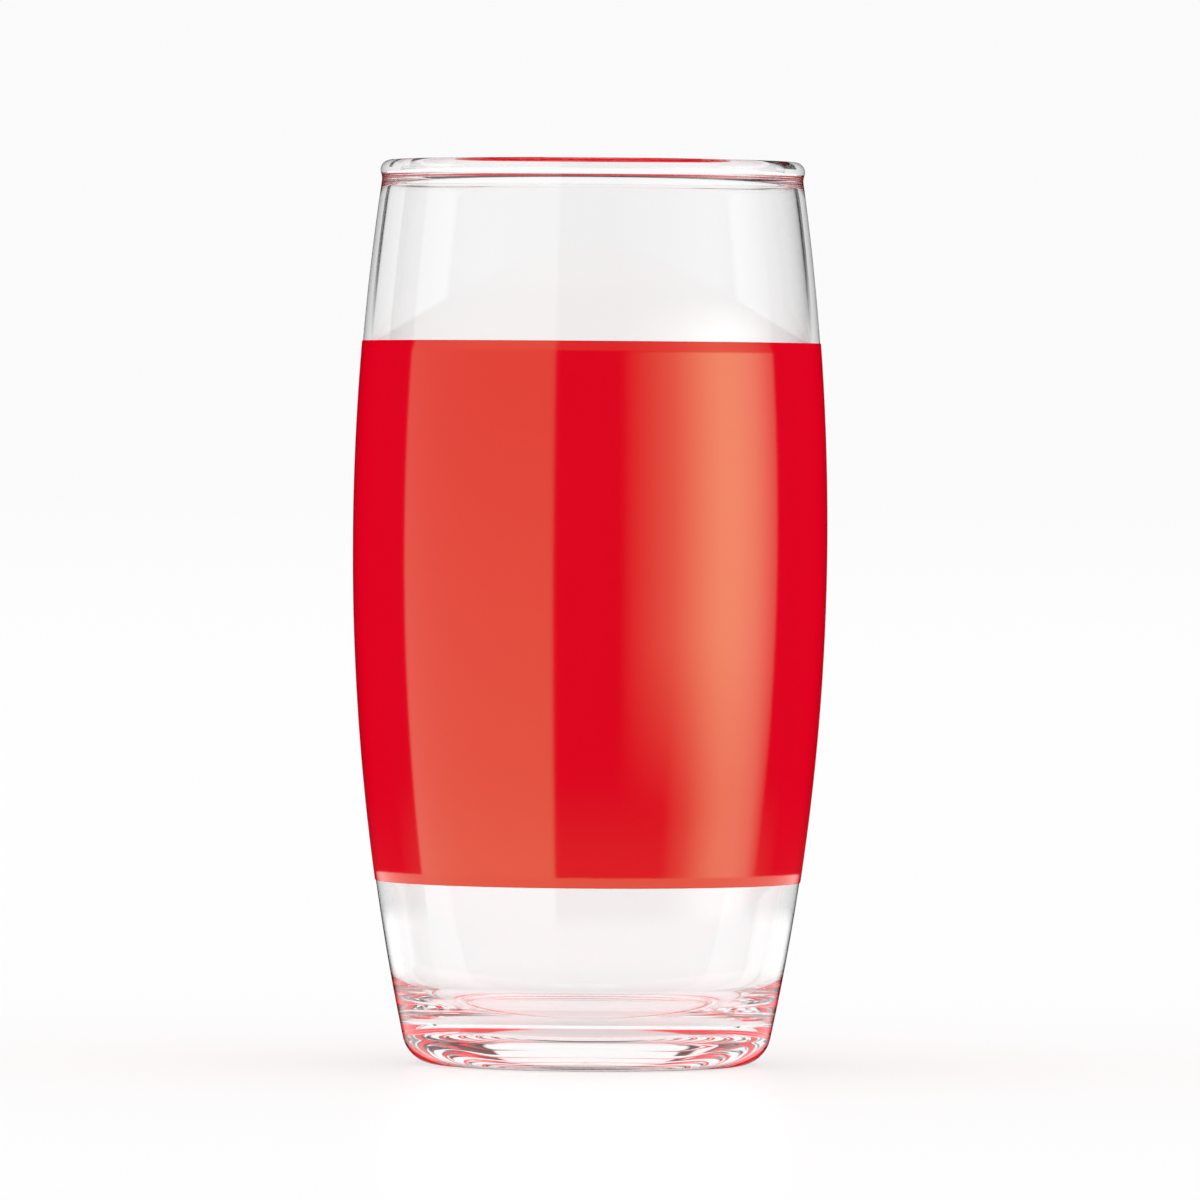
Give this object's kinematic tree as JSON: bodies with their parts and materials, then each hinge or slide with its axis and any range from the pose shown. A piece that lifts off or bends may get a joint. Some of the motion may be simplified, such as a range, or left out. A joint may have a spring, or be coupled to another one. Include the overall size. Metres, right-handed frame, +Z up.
{
  "type": "drinking glass",
  "caption": "Tall barrel-shaped drinking glass with a beaded rim, a hollow-bottomed base and a wide glossy red band round the wall.",
  "frame": {"origin": "centre of the standing ring, on the table", "axes": "+Z up along the axis of the glass, from the base to the rim; the glass is round, so +X and +Y are free"},
  "size_m": [0.0736, 0.0736, 0.14],
  "materials": {
    "clear_glass": "clear soda-lime glass, blown in a mould and fire-polished, smooth inside and out",
    "red_enamel": "opaque glossy red glass enamel, printed and fired on to the wall"
  },
  "bodies": {
    "root": {"glass_tumbler": "clear_glass", "colour_band": "red_enamel"}
  },
  "joints": []
}
